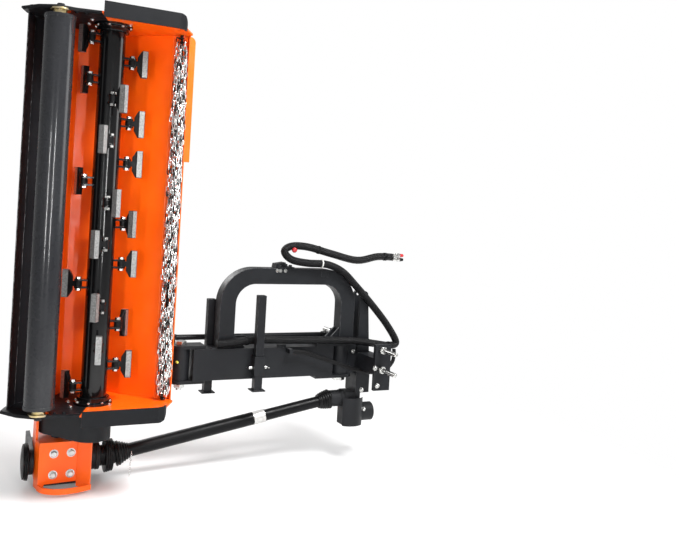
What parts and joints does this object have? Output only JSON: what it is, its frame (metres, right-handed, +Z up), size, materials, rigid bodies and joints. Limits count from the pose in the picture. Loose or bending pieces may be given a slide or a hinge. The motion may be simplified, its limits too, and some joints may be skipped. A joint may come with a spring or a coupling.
{
  "type": "side-shift flail mower",
  "caption": "Tractor flail mower with an orange cutter head folded upright, hammer rotor, rear roller, chain curtain, side-shift arm and drive shaft.",
  "frame": {"origin": "midway between the lower link pins", "axes": "+Y the way of travel, +X the side the head lowers to, +Z up"},
  "size_m": [0.84, 1.9559, 2.091],
  "materials": {
    "charcoal_paint": "semi-gloss powder coat",
    "orange_paint": "gloss powder coat",
    "bare_steel": "zinc plated",
    "hard_chrome": "polished",
    "hammer_steel": "forged, worn edge",
    "zinc_chain": "bright zinc",
    "black_paint": "gloss",
    "grey_casting": "painted casting",
    "black_rubber": "matt",
    "black_plastic": "satin"
  },
  "bodies": {
    "headstock": {"hitch_frame": "charcoal_paint", "hitch_mast": "charcoal_paint", "link_pins": "bare_steel", "drive_gearbox": "grey_casting", "gearbox_guard": "charcoal_paint", "cylinder_pins": "bare_steel"},
    "input_shaft": {"input_shaft": "bare_steel"},
    "output_joint": {"output_joint": "bare_steel"},
    "arm": {"arm_beam": "charcoal_paint", "arm_arch": "charcoal_paint", "arch_gussets": "charcoal_paint", "swing_pin": "bare_steel", "carriage_pin": "bare_steel", "leg_clamps": "bare_steel", "hose_bundle": "black_rubber", "hose_loop": "black_rubber", "hose_couplers": "bare_steel", "hose_clamps": "charcoal_paint"},
    "near_leg": {"near_leg": "charcoal_paint"},
    "far_leg": {"far_leg": "charcoal_paint"},
    "swing_barrel": {"swing_barrel": "charcoal_paint"},
    "swing_rod": {"swing_rod": "hard_chrome"},
    "tie_rod": {"tie_rod": "charcoal_paint"},
    "carriage": {"carriage_frame": "charcoal_paint"},
    "tilt_barrel": {"tilt_barrel": "charcoal_paint"},
    "tilt_rod": {"tilt_rod": "hard_chrome"},
    "head": {"hood": "orange_paint", "end_plates": "orange_paint", "skids": "charcoal_paint", "front_lip": "orange_paint", "rear_shield": "charcoal_paint", "chain_rod": "black_paint", "belt_cover": "charcoal_paint", "gearbox_bracket": "orange_paint", "bracket_bolts": "bare_steel", "head_gearbox": "grey_casting", "pivot_cap": "black_plastic", "input_shield": "black_plastic", "rotor_bearings": "charcoal_paint", "roller_hubs": "charcoal_paint", "drive_belts": "black_rubber"},
    "curtain": {"chain_curtain": "zinc_chain"},
    "rotor": {"rotor": "black_paint", "hammer_pins": "bare_steel", "driven_pulley": "grey_casting"},
    "hammers_a": {"hammers_a": "hammer_steel"},
    "hammers_b": {"hammers_b": "hammer_steel"},
    "hammers_c": {"hammers_c": "hammer_steel"},
    "hammers_d": {"hammers_d": "hammer_steel"},
    "roller": {"roller": "charcoal_paint"},
    "drive_pulley": {"drive_pulley": "grey_casting"},
    "head_joint": {"head_joint": "bare_steel"},
    "guard": {"guard_tube": "black_plastic"},
    "sleeve": {"guard_sleeve": "black_plastic", "safety_chain": "zinc_chain"},
    "core": {"shaft_core": "bare_steel"},
    "tube": {"shaft_tube": "bare_steel"}
  },
  "joints": [
    {"name": "arm_swing", "type": "hinge", "parent": "headstock", "child": "arm", "pos_m": [0, -0.1, 0.01], "axis": [0, 0, 1], "range_deg": [0, 30], "deforming": ["hose_bundle", "hose_loop", "hose_couplers"]},
    {"name": "carriage_swing", "type": "hinge", "parent": "arm", "child": "carriage", "pos_m": [0, -0.95, 0.01], "axis": [0, 0, 1], "range_deg": [-30.1, 0.1]},
    {"name": "tie_swing", "type": "hinge", "parent": "headstock", "child": "tie_rod", "pos_m": [-0.19, -0.1, 0.102], "axis": [0, 0, 1], "range_deg": [-0.1, 30.1]},
    {"name": "swing_barrel_turn", "type": "hinge", "parent": "headstock", "child": "swing_barrel", "pos_m": [-0.125, -0.045, -0.02], "axis": [0, 0, 1], "range_deg": [-0.1, 24]},
    {"name": "swing_rod_slide", "type": "slide", "parent": "swing_barrel", "child": "swing_rod", "axis": [0.0422, -0.9991, 0], "range_m": [-0.001, 0.0579]},
    {"name": "head_tilt", "type": "hinge", "parent": "carriage", "child": "head", "pos_m": [-0.02, -1.475, -0.405], "axis": [0, 1, 0], "range_deg": [0, 90]},
    {"name": "tilt_barrel_turn", "type": "hinge", "parent": "carriage", "child": "tilt_barrel", "pos_m": [-0.24, -1.286, -0.06], "axis": [0, 1, 0], "range_deg": [-19.52, 0.1]},
    {"name": "tilt_rod_slide", "type": "slide", "parent": "tilt_barrel", "child": "tilt_rod", "axis": [0.2534, 0, -0.9674], "range_m": [-0.1465, 0.001]},
    {"name": "rotor_spin", "type": "hinge", "parent": "head", "child": "rotor", "pos_m": [0.135, -1.362, 0.7], "axis": [0, 0, 1], "continuous": true},
    {"name": "hammer_swing_a", "type": "hinge", "parent": "rotor", "child": "hammers_a", "pos_m": [0.223, -1.362, 0.7], "axis": [0, 0, 1], "range_deg": [-35, 35]},
    {"name": "hammer_swing_b", "type": "hinge", "parent": "rotor", "child": "hammers_b", "pos_m": [0.135, -1.274, 0.7], "axis": [0, 0, 1], "range_deg": [-35, 35]},
    {"name": "hammer_swing_c", "type": "hinge", "parent": "rotor", "child": "hammers_c", "pos_m": [0.047, -1.362, 0.7], "axis": [0, 0, 1], "range_deg": [-35, 35]},
    {"name": "hammer_swing_d", "type": "hinge", "parent": "rotor", "child": "hammers_d", "pos_m": [0.135, -1.45, 0.7], "axis": [0, 0, 1], "range_deg": [-35, 35]},
    {"name": "roller_spin", "type": "hinge", "parent": "head", "child": "roller", "pos_m": [0.29, -1.597, 0.7], "axis": [0, 0, 1], "continuous": true},
    {"name": "drive_pulley_spin", "type": "hinge", "parent": "head", "child": "drive_pulley", "pos_m": [-0.02, -1.475, -0.23], "axis": [0, 0, 1], "continuous": true},
    {"name": "head_input_spin", "type": "hinge", "parent": "head", "child": "head_joint", "pos_m": [-0.02, -1.25, -0.405], "axis": [0, 1, 0], "continuous": true},
    {"name": "output_spin", "type": "hinge", "parent": "headstock", "child": "output_joint", "pos_m": [0, -0.1, -0.202], "axis": [0, 1, 0], "continuous": true},
    {"name": "input_spin", "type": "hinge", "parent": "headstock", "child": "input_shaft", "pos_m": [0, 0.06, -0.28], "axis": [0, 1, 0], "continuous": true},
    {"name": "shaft_yaw", "type": "hinge", "parent": "headstock", "child": "guard", "pos_m": [0, -0.14, -0.202], "axis": [0, 0, 1], "range_deg": [-0.1, 23.98]},
    {"name": "shaft_slide", "type": "slide", "parent": "guard", "child": "sleeve", "axis": [-0.018, -0.9831, -0.1823], "range_m": [-0.0352, 0.001]},
    {"name": "core_spin", "type": "hinge", "parent": "guard", "child": "core", "pos_m": [0, -0.14, -0.202], "axis": [0.018, 0.9831, 0.1823], "continuous": true},
    {"name": "tube_spin", "type": "hinge", "parent": "sleeve", "child": "tube", "pos_m": [-0.02, -1.235, -0.405], "axis": [0.018, 0.9831, 0.1823], "continuous": true},
    {"name": "curtain_swing", "type": "hinge", "parent": "head", "child": "curtain", "pos_m": [0.15, -1.062, 0.7], "axis": [0, 0, 1], "range_deg": [-20, 20]},
    {"name": "near_leg_slide", "type": "slide", "parent": "arm", "child": "near_leg", "axis": [0, 0, 1], "range_m": [-0.25, 0.04]},
    {"name": "far_leg_slide", "type": "slide", "parent": "arm", "child": "far_leg", "axis": [0, 0, 1], "range_m": [-0.25, 0.04]}
  ],
  "couplings": [
    {"joint": "carriage_swing", "follows": "arm_swing", "ratio": -1},
    {"joint": "tie_swing", "follows": "arm_swing", "ratio": 1},
    {"joint": "swing_barrel_turn", "follows": "arm_swing", "ratio": 0.78339},
    {"joint": "swing_rod_slide", "follows": "arm_swing", "m_per_rad": 0.10668},
    {"joint": "shaft_yaw", "follows": "arm_swing", "ratio": 0.78256},
    {"joint": "shaft_slide", "follows": "arm_swing", "m_per_rad": -0.063358},
    {"joint": "tilt_barrel_turn", "follows": "head_tilt", "ratio": -0.21132},
    {"joint": "tilt_rod_slide", "follows": "head_tilt", "m_per_rad": -0.091977},
    {"joint": "drive_pulley_spin", "follows": "rotor_spin", "ratio": 0.89744},
    {"joint": "head_input_spin", "follows": "rotor_spin", "ratio": 0.89744},
    {"joint": "output_spin", "follows": "rotor_spin", "ratio": 0.89744},
    {"joint": "core_spin", "follows": "rotor_spin", "ratio": 0.89744},
    {"joint": "tube_spin", "follows": "rotor_spin", "ratio": 0.89744},
    {"joint": "input_spin", "follows": "rotor_spin", "ratio": -0.59829}
  ]
}
